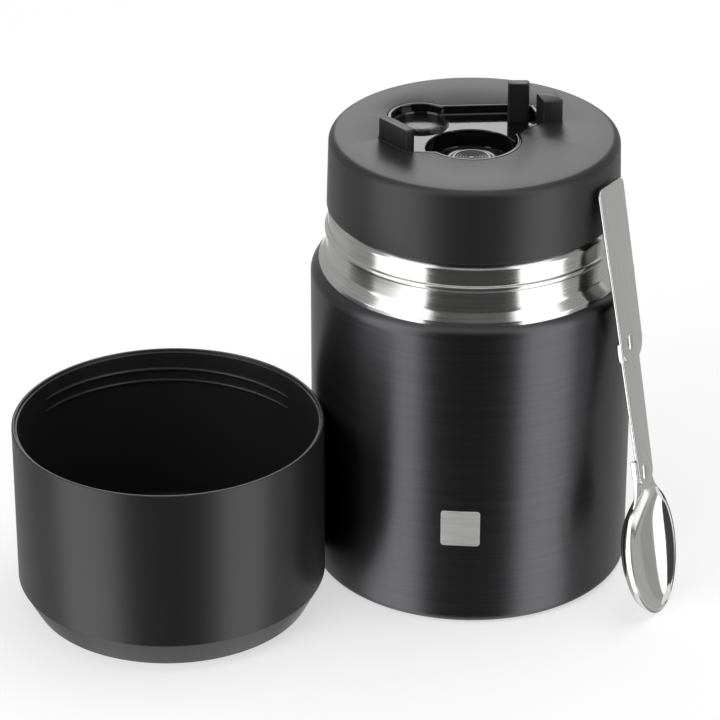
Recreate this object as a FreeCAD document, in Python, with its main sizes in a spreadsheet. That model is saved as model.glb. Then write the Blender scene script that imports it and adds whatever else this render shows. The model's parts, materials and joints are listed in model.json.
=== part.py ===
import FreeCAD, Part
import math
import os
import re
import Sketcher

# Insulated food jar: a vacuum-walled jar with a screw lid, an outer cup set down beside it,
# and a folding spoon that leans on the lid. Millimetres, +Z up.
# The origin is on the jar's axis, on the surface that it stands on.

document = FreeCAD.newDocument("InsulatedFoodJar")
sizes = document.addObject("Spreadsheet::Sheet", "Sizes")

DRIVING_SIZES = (
    ("body_radius", "52", "outside of the painted wall"),
    ("body_height", "106", "floor to the top of the shoulder"),
    ("shell_wall", "0.8", "sheet of the outer shell"),
    ("shoulder_round", "4", "outer radius of the shoulder"),
    ("foot_round", "3", "outer radius of the foot"),
    ("ring_width", "6", "width of the ring that the jar stands on"),
    ("base_recess", "2", "height of the base plate above the floor"),
    ("base_wall", "0.8", "sheet of the base plate"),
    ("pad_margin", "10", "ring's inner edge in to the soft pad"),
    ("seal_hole_radius", "1.5", "hole that the air is drawn through"),
    ("seal_bead_height", "1.2", "solder bead that closes the hole"),
    ("getter_radius", "4", "getter tablet"),
    ("getter_height", "1.6", "getter tablet"),
    ("getter_inset", "14", "edge of the soft pad in to the getter tablet"),
    ("neck_inset", "2.6", "wall in to the bright ring at the foot of the neck"),
    ("neck_foot_depth", "3", "flange of the neck inside the shoulder"),
    ("neck_foot_height", "0.8", "straight part of the bright ring"),
    ("neck_flare_height", "3", "flare between the ring and the lower neck"),
    ("neck_flare", "2.5", "bright ring in to the neck below the bead"),
    ("bead_rise", "0.5", "bead out from the neck below it"),
    ("bead_place", "10.3", "shoulder to the underside of the bead"),
    ("neck_bead_width", "2", "bead along the axis"),
    ("neck_narrowing", "0.5", "neck below the bead in to the neck above it"),
    ("step_place", "7.1", "underside of the bead to the step under the lid"),
    ("thread_room", "1.7", "inside of the lid's skirt in to the neck"),
    ("neck_wall", "0.8", "sheet of the neck"),
    ("neck_in_lid", "15.4", "lid's lower edge to the top edge of the neck"),
    ("mouth_vacuum", "1.3", "vacuum gap between the neck and the liner"),
    ("liner_wall", "0.6", "sheet of the liner"),
    ("liner_floor", "11", "floor to the underside of the liner"),
    ("liner_round", "9", "radius between the liner's wall and floor"),
    ("foil_wall", "0.1", "heat shield foil"),
    ("foil_margin", "21", "top of the foil down from the mouth"),
    ("badge_side", "12.5", "blank steel square on the wall"),
    ("badge_wall", "0.3", "blank steel square on the wall"),
    ("badge_height", "29", "floor to the lower edge of the square"),
    ("badge_turn", "265.2", "degrees from +X to the middle of the square"),
    ("lid_overhang", "0.4", "neck above the bead out to the lid"),
    ("lid_draft", "0.7", "how much smaller the lid is at its top"),
    ("lid_gap", "2.2", "step of the neck to the lower edge of the lid"),
    ("lid_headroom", "8.6", "mouth to the lid's top"),
    ("lid_round", "2.8", "upper edge of the lid"),
    ("lid_wall", "1.9", "skirt of the lid"),
    ("lid_plate", "1.8", "top plate of the lid"),
    ("thread_lead", "12", "rise of the lid in one turn"),
    ("thread_depth", "1.2", "height of a thread ridge"),
    ("thread_root", "1.6", "width of a ridge at its root"),
    ("thread_tip", "1", "width of a ridge at its tip"),
    ("thread_rise", "4.5", "rise of one ridge from end to end"),
    ("thread_place", "4", "lid's lower edge to the start of the neck's ridges"),
    ("stopper_play", "1.9", "liner in to the plug"),
    ("stopper_wall", "1.6", "plug and flange"),
    ("stopper_depth", "14", "mouth down to the underside of the plug"),
    ("flange_play", "0.5", "inside of the lid's skirt in to the plug's flange"),
    ("insulation_height", "9", "foam disc in the plug"),
    ("gasket_height", "5", "seal ring round the plug"),
    ("gasket_wall", "0.8", "body of the seal ring"),
    ("gasket_lip", "1.6", "reach of the fins from the plug"),
    ("gasket_fin", "0.8", "thickness of a fin"),
    ("gasket_space", "1.2", "groove between the fins"),
    ("tray_wall", "1.2", "sides of the spoon tray"),
    ("tray_floor", "1.4", "floor of the spoon tray"),
    ("tray_depth", "3", "lid top down to the tray's floor"),
    ("tray_flange", "1.8", "rim of the tray under the lid's plate"),
    ("well_radius", "14.5", "round finger well"),
    ("well_depth", "9", "lid top down to the well's floor"),
    ("well_left", "1", "well's centre left of the axis"),
    ("well_front", "5.5", "well's centre in front of the axis"),
    ("lobe_radius", "9.4", "round dish at the tray's back left"),
    ("lobe_left", "16.8", "dish's centre left of the axis"),
    ("lobe_back", "13", "dish's centre behind the axis"),
    ("dish_depth", "1.1", "dish below the tray's floor"),
    ("clip_height", "7", "clips above the lid top"),
    ("clip_wall", "2", "thickness of the left clip"),
    ("clip_round", "0.5", "upper edges of the clips and the post"),
    ("post_height", "10", "post above the lid top"),
    ("collar_radius", "8", "collar round the vent button"),
    ("collar_height", "2.4", "collar above the well's floor"),
    ("button_radius", "6.5", "vent button"),
    ("button_height", "1.6", "skirt and cap of the vent button"),
    ("button_cap", "0.8", "top and skirt wall of the vent button"),
    ("button_travel", "1.2", "stroke of the vent button"),
    ("stem_radius", "1.8", "stem of the vent button"),
    ("vent_seal_radius", "4.2", "seal under the plug"),
    ("vent_seal_height", "1.5", "seal under the plug"),
    ("spring_foot", "4.8", "foot of the soft cone that springs the button back"),
    ("spring_top", "3.2", "outer radius of the cone at its top"),
    ("spring_wall", "0.5", "wall of the cone"),
    ("cup_play", "0.6", "neck's bead out to the inside of the cup"),
    ("cup_headroom", "10", "top of the post to the cup's end when it covers the lid"),
    ("cup_wall", "1.8", "wall and floor of the cup"),
    ("cup_slope_width", "5.1", "rim of the cup in to the face that it stands on"),
    ("cup_chamfer_height", "9.6", "slope at the foot of the cup"),
    ("cup_rib_depth", "1", "thread rib inside the cup"),
    ("cup_rib_width", "1.2", "thread rib inside the cup, at its root"),
    ("cup_rib_tip", "0.6", "thread rib inside the cup, at its tip"),
    ("cup_rib_pitch", "3.8", "thread rib inside the cup"),
    ("cup_rib_rise", "5.7", "thread rib from end to end"),
    ("cup_rib_drop", "6", "rim down to the upper end of the rib"),
    ("cup_gap", "0.4", "cup beside the jar"),
    ("cup_bearing", "17.83", "degrees in front of the left that the cup stands"),
    ("strip_thickness", "1", "steel strip of the spoon"),
    ("spoon_lean", "11.7", "degrees from upright, towards the lid"),
    ("spoon_tilt", "2.9", "degrees from upright, to its right"),
    ("spoon_turn", "329", "degrees from +X to the way that the bowl faces"),
    ("spoon_aside", "5.7", "tip of the bowl to the left of that direction"),
    ("spoon_lift", "0.2", "tip of the bowl above the floor"),
    ("lean_gap", "0.65", "spoon beside the lid, so that the lid can rise past it"),
    ("handle_length", "52.2", "upper rivet to the handle's end"),
    ("handle_width", "16", "handle at its end"),
    ("handle_root", "14", "handle at the rivet"),
    ("handle_round", "2.5", "corners of the handle's end"),
    ("link_length", "44.2", "rivet to rivet"),
    ("link_width", "11.4", "link at the upper rivet"),
    ("link_foot", "9.4", "link at the lower rivet"),
    ("bowl_width", "30.6", "bowl of the spoon"),
    ("bowl_length", "43", "bowl of the spoon"),
    ("bowl_depth", "8", "bowl of the spoon"),
    ("neck_length", "5.9", "rim of the bowl to the lower rivet"),
    ("bowl_neck", "10.4", "strip between the bowl and the rivet"),
    ("tab_wall", "1.1", "stop tabs beside the rivets"),
    ("tab_length", "5", "stop tabs along the spoon"),
    ("rivet_radius", "1.6", "shank"),
    ("rivet_head", "3", "radius of a head"),
    ("rivet_cap", "0.9", "height of a head"),
    ("seat_gap", "0.05", "parts that are pressed or welded together"),
    ("slip_gap", "0.1", "parts that slide on each other"),
    ("free_gap", "0.3", "parts that only lie beside each other"),
)
for row, (alias, number, meaning) in enumerate(DRIVING_SIZES, start=1):
    sizes.set("A%d" % row, meaning)
    sizes.set("B%d" % row, number)
    sizes.setAlias("B%d" % row, alias)
document.recompute()

# Sizes that follow from others: each is a radius from the jar's axis, or a height, by its name.
FOLLOWING_SIZES = {
    "base_ring_radius": "body_radius - ring_width",
    "base_pad_radius": "base_ring_radius - pad_margin",
    "getter_offset": "base_pad_radius - getter_inset",
    "neck_foot_radius": "body_radius - neck_inset",
    "neck_low_radius": "neck_foot_radius - neck_flare",
    "neck_bead_radius": "neck_low_radius + bead_rise",
    "neck_high_radius": "neck_low_radius - neck_narrowing",
    "neck_bead_height": "body_height + bead_place",
    "neck_step_height": "neck_bead_height + step_place",
    "lid_radius": "neck_high_radius + lid_overhang",
    "lid_bottom": "neck_step_height + lid_gap",
    "mouth_height": "lid_bottom + neck_in_lid",
    "lid_height": "neck_in_lid + lid_headroom",
    "skirt_inside": "lid_radius - lid_wall",
    "neck_top_radius": "skirt_inside - thread_room",
    "thread_start": "lid_bottom + thread_place",
    "liner_radius": "neck_top_radius - neck_wall - mouth_vacuum - liner_wall",
    "foil_height": "mouth_height - foil_margin - liner_floor - liner_round",
    "stopper_radius": "liner_radius - stopper_play",
    "stopper_floor": "mouth_height - stopper_depth",
    "stopper_flange": "skirt_inside - flange_play",
    "cup_radius": "neck_bead_radius + cup_play + cup_wall",
    "cup_base_radius": "cup_radius - cup_slope_width",
    "cup_height": "lid_bottom + lid_height + post_height - body_height + cup_headroom",
    "cup_left": "(body_radius + cup_radius + cup_gap) * cos(cup_bearing)",
    "cup_front": "(body_radius + cup_radius + cup_gap) * sin(cup_bearing)",
    "spoon_length": "bowl_length + neck_length + link_length + handle_length",
}

Vector = FreeCAD.Vector
UP = Vector(0, 0, 1)
THREAD_STARTS = 3


def bound(text):
    """The text with each following size spelled out, and the others pointed at the sheet."""
    def spelled(match):
        name = match.group(0)
        if name in FOLLOWING_SIZES:
            return "(" + bound(FOLLOWING_SIZES[name]) + ")"
        return "Sizes." + name
    return re.sub(r"\b[a-z]+_[a-z_]+\b", spelled, text)


def value(text):
    """The number that an expression of sizes has now, in mm or degrees."""
    return float(document.getObject("Sizes").evalExpression(bound(text)))


def bind(thing, **expressions):
    """Bind properties to expressions of sizes, with a dot for each double underscore."""
    for name, text in expressions.items():
        thing.setExpression(name.replace("__", "."), bound(text))
    return thing


def new_body(name):
    body = document.addObject("PartDesign::Body", name)
    body.Label = name
    return body


def new_sketch(body, name, role):
    """A sketch on one of the body's own origin planes."""
    sketch = body.newObject("Sketcher::SketchObject", name)
    plane = [thing for thing in body.Origin.OriginFeatures if thing.Role == role][0]
    sketch.AttachmentSupport = [(plane, "")]
    sketch.MapMode = "FlatFace"
    return sketch


def pin_point(sketch, geometry, end, across, up):
    """Hold one point of a sketch at two expressions of sizes."""
    for kind, text in (("DistanceX", across), ("DistanceY", up)):
        number = value(text)
        if abs(number) < 1e-9 and text.strip() == "0":
            on_axis = -2 if kind == "DistanceX" else -1
            sketch.addConstraint(Sketcher.Constraint("PointOnObject", geometry, end, on_axis))
            continue
        index = sketch.addConstraint(Sketcher.Constraint(kind, -1, 1, geometry, end, number))
        sketch.setExpression("Constraints[%d]" % index, bound(text))


def add_outline(sketch, corners):
    """A closed outline of straight lines through corners given as expressions."""
    points = [Vector(value(across), value(up), 0) for across, up in corners]
    count = len(points)
    first = sketch.GeometryCount
    for index in range(count):
        sketch.addGeometry(Part.LineSegment(points[index], points[(index + 1) % count]))
    for index in range(count):
        following = first + (index + 1) % count
        sketch.addConstraint(Sketcher.Constraint("Coincident", first + index, 2, following, 1))
    for index, (across, up) in enumerate(corners):
        pin_point(sketch, first + index, 1, across, up)


def add_circle(sketch, across, up, radius):
    centre = Vector(value(across), value(up), 0)
    index = sketch.addGeometry(Part.Circle(centre, UP, value(radius)))
    pin_point(sketch, index, 3, across, up)
    number = sketch.addConstraint(Sketcher.Constraint("Radius", index, value(radius)))
    sketch.setExpression("Constraints[%d]" % number, bound(radius))


def turned(body, corners, kind="PartDesign::Revolution", name="turning"):
    """Turn an outline of radius and height round the body's Z axis."""
    sketch = new_sketch(body, body.Name + "_" + name + "_outline", "XZ_Plane")
    add_outline(sketch, corners)
    feature = body.newObject(kind, body.Name + "_" + name)
    feature.Profile = sketch
    feature.ReferenceAxis = (sketch, ["V_Axis"])
    feature.Angle = 360
    document.recompute()
    return feature


def turned_body(name, corners):
    body = new_body(name)
    turned(body, corners)
    return body


def ring_edges(feature, places):
    """Names of the round edges that have these radii and heights."""
    names = []
    for radius, height in places:
        for index, edge in enumerate(feature.Shape.Edges, start=1):
            curve = edge.Curve
            if not isinstance(curve, Part.Circle):
                continue
            if abs(curve.Radius - radius) < 0.01 and abs(curve.Center.z - height) < 0.01:
                names.append("Edge%d" % index)
                break
    return names


def round_rings(body, name, radius, places):
    """Round the ring-shaped edges at the given radii and heights."""
    base = body.Tip
    numbers = [(value(across), value(up)) for across, up in places]
    feature = body.newObject("PartDesign::Fillet", body.Name + "_" + name)
    feature.Base = (base, ring_edges(base, numbers))
    bind(feature, Radius=radius)
    document.recompute()
    return feature


def wind_ridges(body, name, root, tip, height, count, lead, rise):
    """Helical ridges in a wall, from a radius and width at the root to those at the tip."""
    root_radius, root_width = root
    tip_radius, tip_width = tip
    sketch = new_sketch(body, body.Name + "_" + name + "_outline", "XZ_Plane")
    add_outline(sketch, (
        (root_radius, height + " - " + root_width + " / 2"),
        (tip_radius, height + " - " + tip_width + " / 2"),
        (tip_radius, height + " + " + tip_width + " / 2"),
        (root_radius, height + " + " + root_width + " / 2"),
    ))
    helix = body.newObject("PartDesign::AdditiveHelix", body.Name + "_" + name)
    helix.Profile = sketch
    helix.ReferenceAxis = (sketch, ["V_Axis"])
    helix.Mode = "pitch-height-angle"
    bind(helix, Pitch=lead, Height=rise)
    document.recompute()
    if count > 1:
        ring = body.newObject("PartDesign::PolarPattern", body.Name + "_" + name + "_ring")
        ring.Originals = [helix]
        ring.Axis = (sketch, ["V_Axis"])
        ring.Angle = 360
        ring.Occurrences = count
        body.Tip = ring
        document.recompute()


# Outer shell: drawn steel, painted, open at the neck and at the base.
shell_hole = "neck_foot_radius + seat_gap"
outer_shell = turned_body("outer_shell", (
    ("base_ring_radius", "0"),
    ("body_radius", "0"),
    ("body_radius", "body_height"),
    ("body_radius - 3 * shoulder_round", "body_height"),
    ("body_radius - 3 * shoulder_round", "body_height - shell_wall"),
    ("body_radius - shell_wall", "body_height - shell_wall"),
    ("body_radius - shell_wall", "shell_wall"),
    ("base_ring_radius", "shell_wall"),
))
round_rings(outer_shell, "shoulder", "shoulder_round", (("body_radius", "body_height"),))
round_rings(outer_shell, "shoulder_inside", "shoulder_round - shell_wall",
            (("body_radius - shell_wall", "body_height - shell_wall"),))
round_rings(outer_shell, "foot", "foot_round", (("body_radius", "0"),))
round_rings(outer_shell, "foot_inside", "foot_round - shell_wall",
            (("body_radius - shell_wall", "shell_wall"),))
turned(outer_shell, (
    ("0", "body_height - shoulder_round - shell_wall"),
    (shell_hole, "body_height - shoulder_round - shell_wall"),
    (shell_hole, "body_height + shell_wall"),
    ("0", "body_height + shell_wall"),
), "PartDesign::Groove", "neck_hole")

# Neck: a pressed steel ring with a foot, a flare, a bead and a step up to the thread.
neck_outside = (
    ("neck_foot_radius", "body_height - neck_foot_depth"),
    ("neck_foot_radius", "body_height + neck_foot_height"),
    ("(2 * neck_low_radius + neck_foot_radius) / 3",
     "body_height + neck_foot_height + neck_flare_height / 3"),
    ("neck_low_radius", "body_height + neck_foot_height + neck_flare_height"),
    ("neck_low_radius", "neck_bead_height"),
    ("neck_bead_radius", "neck_bead_height + neck_bead_width / 4"),
    ("neck_bead_radius", "neck_bead_height + neck_bead_width * 3 / 4"),
    ("neck_high_radius", "neck_bead_height + neck_bead_width"),
    ("neck_high_radius", "neck_step_height"),
    ("neck_top_radius", "neck_step_height + neck_high_radius - neck_top_radius"),
    ("neck_top_radius", "mouth_height"),
)
neck_inside = tuple(("%s - neck_wall" % across, up) for across, up in reversed(neck_outside))
neck_ring = turned_body("neck_ring", neck_outside + neck_inside)
wind_ridges(neck_ring, "thread", ("neck_top_radius - neck_wall / 4", "thread_root"),
            ("neck_top_radius + thread_depth", "thread_tip"), "thread_start", THREAD_STARTS,
            "thread_lead", "thread_rise")

# Base plate, welded into the ring, with the vacuum seal and a soft pad level with the ring.
shell_base = turned_body("shell_base", (
    ("seal_hole_radius", "base_recess"),
    ("base_ring_radius - seat_gap - base_wall", "base_recess"),
    ("base_ring_radius - seat_gap - base_wall", "base_recess - base_wall"),
    ("base_ring_radius - seat_gap", "base_recess - base_wall"),
    ("base_ring_radius - seat_gap", "base_recess + base_wall"),
    ("seal_hole_radius", "base_recess + base_wall"),
))
base_pad = bind(document.addObject("Part::Cylinder", "base_pad"), Radius="base_pad_radius",
                Height="base_recess")
seal_bead = turned_body("seal_bead", (
    ("0", "base_recess"),
    ("seal_hole_radius", "base_recess"),
    ("seal_hole_radius", "base_recess + base_wall"),
    ("seal_hole_radius * 2", "base_recess + base_wall"),
    ("seal_hole_radius", "base_recess + base_wall + seal_bead_height"),
    ("0", "base_recess + base_wall + seal_bead_height"),
))
getter = bind(document.addObject("Part::Cylinder", "getter"), Radius="getter_radius",
              Height="getter_height", Placement__Base__x="getter_offset",
              Placement__Base__z="base_recess + base_wall")

# Liner: drawn steel food vessel, hung from a lip on the neck's top edge, with a foil round it.
liner_outside = "liner_radius + liner_wall"
liner = turned_body("liner", (
    ("0", "liner_floor"),
    (liner_outside, "liner_floor"),
    (liner_outside, "mouth_height"),
    ("neck_top_radius", "mouth_height"),
    ("neck_top_radius", "mouth_height + liner_wall"),
    ("liner_radius", "mouth_height + liner_wall"),
    ("liner_radius", "liner_floor + liner_wall"),
    ("0", "liner_floor + liner_wall"),
))
round_rings(liner, "corner", "liner_round", ((liner_outside, "liner_floor"),))
round_rings(liner, "corner_inside", "liner_round - liner_wall",
            (("liner_radius", "liner_floor + liner_wall"),))
foil_bottom = "liner_floor + liner_round"
radiation_foil = turned_body("radiation_foil", (
    (liner_outside + " + seat_gap", foil_bottom),
    (liner_outside + " + seat_gap + foil_wall", foil_bottom),
    (liner_outside + " + seat_gap + foil_wall", foil_bottom + " + foil_height"),
    (liner_outside + " + seat_gap", foil_bottom + " + foil_height"),
))

# Blank badge: a thin steel square bent to the wall.
badge_ring = turned_body("badge_ring", (
    ("body_radius + seat_gap", "badge_height"),
    ("body_radius + seat_gap + badge_wall", "badge_height"),
    ("body_radius + seat_gap + badge_wall", "badge_height + badge_side"),
    ("body_radius + seat_gap", "badge_height + badge_side"),
))
badge_block = bind(document.addObject("Part::Box", "badge_block"), Length="body_radius + badge_side",
                   Width="badge_side", Height="badge_side", Placement__Base__y="-badge_side / 2",
                   Placement__Base__z="badge_height")
badge_plate = document.addObject("Part::Common", "badge_plate")
badge_plate.Base = badge_ring
badge_plate.Tool = badge_block
badge_plate.Placement = FreeCAD.Placement(Vector(0, 0, 0), FreeCAD.Rotation(UP, value("badge_turn")))

# Lid cover: moulded skirt and top plate, with the female thread inside the skirt.
lid_top = "lid_bottom + lid_height"
plate_under = "lid_bottom + lid_height - lid_plate"
cover_body = turned_body("cover_body", (
    ("skirt_inside", "lid_bottom"),
    ("lid_radius", "lid_bottom"),
    ("lid_radius - lid_draft", lid_top),
    ("0", lid_top),
    ("0", plate_under),
    ("skirt_inside - lid_draft", plate_under),
    ("skirt_inside", "mouth_height"),
))
round_rings(cover_body, "edge", "lid_round", (("lid_radius - lid_draft", lid_top),))
half_start = "thread_start - thread_lead / %d" % (2 * THREAD_STARTS)
wind_ridges(cover_body, "thread", ("skirt_inside + lid_wall / 4", "thread_root"),
            ("skirt_inside - thread_depth", "thread_tip"), half_start, THREAD_STARTS,
            "thread_lead", "thread_rise")

# Plan of the spoon's slot on the lid top, in mm across and behind the lid's axis: from the left
# clip along the front to the right clip, and back past the post and the dish.
SLOT_CORNERS = (
    (-29.2, -4.4), (-21.4, -13.9), (-10.0, -15.0), (11.0, -4.4), (17.3, 5.4), (22.0, 8.2),
    (18.6, 20.6), (10.2, 21.4), (-9.2, 20.3), (-26.0, 11.5),
)
RIGHT_CLIP = ((22.2, 7.9), (28.4, 9.4), (26.0, 16.4), (19.8, 14.9))
POST = ((11.0, 15.0), (17.8, 15.0), (17.8, 18.6), (11.0, 18.6))


def recess(grow, low, high):
    """Solid with the tray's outline: the spoon's slot, the finger well and the round dish."""
    well = Vector(-value("well_left"), -value("well_front"), low)
    lobe = Vector(-value("lobe_left"), value("lobe_back"), low)
    corners = [Vector(across, back, low) for across, back in SLOT_CORNERS]
    slot = Part.Face(Part.makePolygon(corners + corners[:1]))
    if grow:
        slot = slot.makeOffset2D(grow)
    height = high - low
    solid = slot.extrude(Vector(0, 0, height))
    solid = solid.fuse(Part.makeCylinder(value("well_radius") + grow, height, well))
    solid = solid.fuse(Part.makeCylinder(value("lobe_radius") + grow, height, lobe))
    return solid.removeSplitter()


def new_feature(name, shape):
    feature = document.addObject("Part::Feature", name)
    feature.Label = name
    feature.Shape = shape
    return feature


def combined(kind, name, base, tool):
    """A Part boolean of two objects, under a name of its own."""
    feature = document.addObject(kind, name)
    feature.Base = base
    feature.Tool = tool
    document.recompute()
    return feature


def upright(name, radius, height, low, at_well=True):
    """A cylinder on the vent's axis, or on the jar's, from a height upwards."""
    feature = document.addObject("Part::Cylinder", name)
    bind(feature, Radius=radius, Height=height, Placement__Base__z=low)
    if at_well:
        bind(feature, Placement__Base__x="-well_left", Placement__Base__y="-well_front")
    return feature


def standing_block(corners, low, high, rounding=0):
    """A block on a four-cornered plan, with its upper edges broken where a radius is given."""
    points = [Vector(across, back, low) for across, back in corners]
    block = Part.Face(Part.makePolygon(points + points[:1])).extrude(UP * (high - low))
    if not rounding:
        return block
    edges = [edge for edge in block.Edges if edge.BoundBox.ZMin > high - 0.01]
    return block.makeFillet(rounding, edges)


def left_clip_plan():
    """The left clip stands along the slot's left end, its back in the tray's wall."""
    first, second = [Vector(across, back, 0) for across, back in SLOT_CORNERS[:2]]
    along = (second - first).normalize()
    inward = Vector(-along.y, along.x, 0)
    thickness = value("clip_wall")
    side = value("tray_wall")
    first = first - along * side - inward * side
    second = second + along * side - inward * side
    plan = [first, second, second + inward * (thickness + side), first + inward * (thickness + side)]
    return [(point.x, point.y) for point in plan]


top_height = value(lid_top)
under_plate = value(plate_under)
wall = value("tray_wall")
floor_height = top_height - value("tray_depth")
clip_foot = floor_height - value("tray_floor")
clip_top = top_height + value("clip_height")
post_top = top_height + value("post_height")
clips = ((left_clip_plan(), clip_top), (RIGHT_CLIP, clip_top), (POST, post_top))

# The cover is cut through for the tray and its clips.
plate = value("lid_plate")
opening_shape = recess(wall + value("seat_gap"), under_plate - plate, top_height + plate)
for plan, high in clips:
    opening_shape = opening_shape.fuse(standing_block(plan, clip_foot, high))
opening = new_feature("tray_opening", opening_shape)
lid_cover = combined("Part::Cut", "lid_cover", cover_body, opening)

# Spoon tray: gloss insert glued under the plate, with two clips, a post and the vent's collar.
well_height = top_height - value("well_depth")
well_low = well_height - value("tray_floor")
well_axis = Vector(-value("well_left"), -value("well_front"), 0)
rim_top = under_plate - value("seat_gap")
rim_low = rim_top - value("tray_floor")
well_outside = Part.makeCylinder(value("well_radius") + wall, floor_height - well_low,
                                 well_axis + UP * well_low)
tray_solid = recess(wall, clip_foot, top_height)
tray_solid = tray_solid.fuse(recess(wall + value("tray_flange"), rim_low, rim_top))
tray_solid = tray_solid.fuse(well_outside)
tray_solid = tray_solid.cut(recess(0, floor_height, top_height + plate))
tray_solid = tray_solid.cut(Part.makeCylinder(value("well_radius"), value("well_depth"),
                                              well_axis + UP * well_height))

# A shallow round dish fills the lobe, its floor part of a sphere.
dish_radius = value("(lobe_radius * lobe_radius + dish_depth * dish_depth) / (2 * dish_depth)")
lobe_axis = Vector(-value("lobe_left"), value("lobe_back"), 0)
dish_height = floor_height - value("dish_depth")
dish = Part.makeSphere(dish_radius, lobe_axis + UP * (dish_height + dish_radius))
dish = dish.common(Part.makeCylinder(value("lobe_radius"), 2 * value("dish_depth"),
                                     lobe_axis + UP * (floor_height - 2 * value("dish_depth"))))
tray_solid = tray_solid.cut(dish)

# The collar guides the button, and the stem passes the well's floor.
collar = Part.makeCylinder(value("collar_radius"), value("collar_height"),
                           well_axis + UP * well_height)
collar_bore = Part.makeCylinder(value("button_radius") + value("slip_gap"),
                                value("collar_height"), well_axis + UP * well_height)
stem_hole = Part.makeCylinder(value("stem_radius") + value("slip_gap"), 2 * value("tray_floor"),
                              well_axis + UP * (well_low - value("seat_gap")))
tray_solid = tray_solid.fuse(collar.cut(collar_bore)).cut(stem_hole)
for plan, high in clips:
    clip = standing_block(plan, clip_foot, high, value("clip_round"))
    tray_solid = tray_solid.fuse(clip)
spoon_tray = new_feature("spoon_tray", tray_solid.removeSplitter())

# Stopper: the plug under the tray, a hollow moulding with a flange and a boss for the vent.
flange_under = "mouth_height + liner_wall + gasket_fin + seat_gap * 2"
flange_top = flange_under + " + stopper_wall"
stopper_body = turned_body("stopper_body", (
    ("0", "stopper_floor"),
    ("stopper_radius", "stopper_floor"),
    ("stopper_radius", flange_under),
    ("stopper_flange", flange_under),
    ("stopper_flange", flange_top),
    ("stopper_radius - stopper_wall", flange_top),
    ("stopper_radius - stopper_wall", "stopper_floor + stopper_wall"),
    ("0", "stopper_floor + stopper_wall"),
))
boss_top = "lid_bottom + lid_height - well_depth - tray_floor - seat_gap"
boss_radius = "stem_radius + slip_gap + stopper_wall"
boss = upright("vent_boss", boss_radius, boss_top + " - stopper_floor", "stopper_floor")
bossed = combined("Part::Fuse", "stopper_with_boss", stopper_body, boss)
vent_bore = upright("vent_bore", "stem_radius + slip_gap", "lid_height", "stopper_floor - stopper_wall")
stopper = combined("Part::Cut", "stopper", bossed, vent_bore)

# Foam disc in the plug, round the boss.
foam = upright("foam_disc", "stopper_radius - stopper_wall - seat_gap", "insulation_height",
               "stopper_floor + stopper_wall + seat_gap", at_well=False)
foam_bore = upright("foam_bore", boss_radius + " + slip_gap", "lid_height", "stopper_floor")
lid_insulation = combined("Part::Cut", "lid_insulation", foam, foam_bore)

# Seal ring: a soft collar on the plug with two fins, its top flange between lip and stopper.
ring_in = "stopper_radius + slip_gap"
ring_out = ring_in + " + gasket_wall"
fin_out = ring_in + " + gasket_lip"
seal_top = "mouth_height + liner_wall + seat_gap + gasket_fin"
fin_low = seal_top + " - gasket_height"
lid_gasket = turned_body("lid_gasket", (
    (ring_in, fin_low),
    (fin_out, fin_low),
    (fin_out, fin_low + " + gasket_fin"),
    (ring_out, fin_low + " + gasket_fin"),
    (ring_out, fin_low + " + gasket_fin + gasket_space"),
    (fin_out, fin_low + " + gasket_fin + gasket_space"),
    (fin_out, fin_low + " + 2 * gasket_fin + gasket_space"),
    (ring_out, fin_low + " + 2 * gasket_fin + gasket_space"),
    (ring_out, seal_top + " - gasket_fin"),
    ("neck_top_radius", seal_top + " - gasket_fin"),
    ("neck_top_radius", seal_top),
    (ring_in, seal_top),
))

# Vent: a button in the well on a stem through the plug, with a seal at the stem's foot.
# A soft cone under the button springs it back.
well_floor = "lid_bottom + lid_height - well_depth"
button_low = well_floor + " + button_travel + slip_gap"
button_skirt = upright("button_skirt", "button_radius", "button_height", button_low)
button_hollow = upright("button_hollow", "button_radius - button_cap", "button_height - button_cap",
                        button_low)
button_cap = combined("Part::Cut", "button_cap", button_skirt, button_hollow)
seal_under = "stopper_floor - seat_gap - vent_seal_height"
stem = upright("vent_stem", "stem_radius",
               button_low + " + button_height - button_cap - (" + seal_under + ")", seal_under)
vent_button = combined("Part::Fuse", "vent_button", button_cap, stem)
seal_disc = upright("seal_disc", "vent_seal_radius", "vent_seal_height", seal_under)
seal_bore = upright("seal_bore", "stem_radius", "vent_seal_height", seal_under)
vent_seal = combined("Part::Cut", "vent_seal", seal_disc, seal_bore)

spring_low = well_floor + " + seat_gap"
spring_high = button_low + " + button_height - button_cap - seat_gap"
vent_spring = turned_body("vent_spring", (
    ("spring_foot - spring_wall", spring_low),
    ("spring_foot", spring_low),
    ("spring_top", spring_high),
    ("spring_top - spring_wall", spring_high),
))
bind(vent_spring, Placement__Base__x="-well_left", Placement__Base__y="-well_front")

# Cup: a moulded drinking cup with a sloping foot and thread ribs under its rim.
cup = turned_body("cup", (
    ("0", "0"),
    ("cup_base_radius", "0"),
    ("cup_radius", "cup_chamfer_height"),
    ("cup_radius", "cup_height"),
    ("cup_radius - cup_wall", "cup_height"),
    ("cup_radius - cup_wall", "cup_chamfer_height + cup_wall / 4"),
    ("cup_base_radius - cup_wall", "cup_wall"),
    ("0", "cup_wall"),
))
wind_ridges(cup, "thread", ("cup_radius - cup_wall * 3 / 4", "cup_rib_width"),
            ("cup_radius - cup_wall - cup_rib_depth", "cup_rib_tip"),
            "cup_height - cup_rib_drop - cup_rib_rise", 1, "cup_rib_pitch", "cup_rib_rise")
bind(cup, Placement__Base__x="-cup_left", Placement__Base__y="-cup_front")
document.recompute()

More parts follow.
